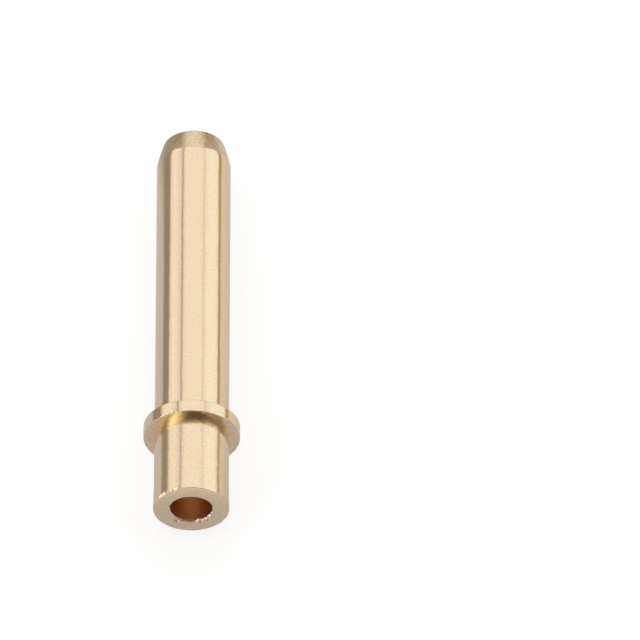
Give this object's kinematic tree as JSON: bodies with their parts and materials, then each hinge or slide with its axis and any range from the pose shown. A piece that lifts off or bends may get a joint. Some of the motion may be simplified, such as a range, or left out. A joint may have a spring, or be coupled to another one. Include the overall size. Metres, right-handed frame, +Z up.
{
  "type": "pin contact",
  "caption": "Turned pin contact for a power connector: a solid round pin with a tapered tip, a thin collar and a short barrel with a blind bore for the wire.",
  "frame": {"origin": "centre of the footprint, on the table the contact lies on", "axes": "+Z up from the table, +Y towards the tip along the lying contact, +X across it; the contact's own axis leans down towards the tip by about two degrees"},
  "size_m": [0.004, 0.018, 0.0039],
  "materials": {
    "gold_plated_brass": "thin gold plate on turned brass, smooth with fine turning marks"
  },
  "bodies": {
    "root": {"pin_contact": "gold_plated_brass"}
  },
  "joints": []
}
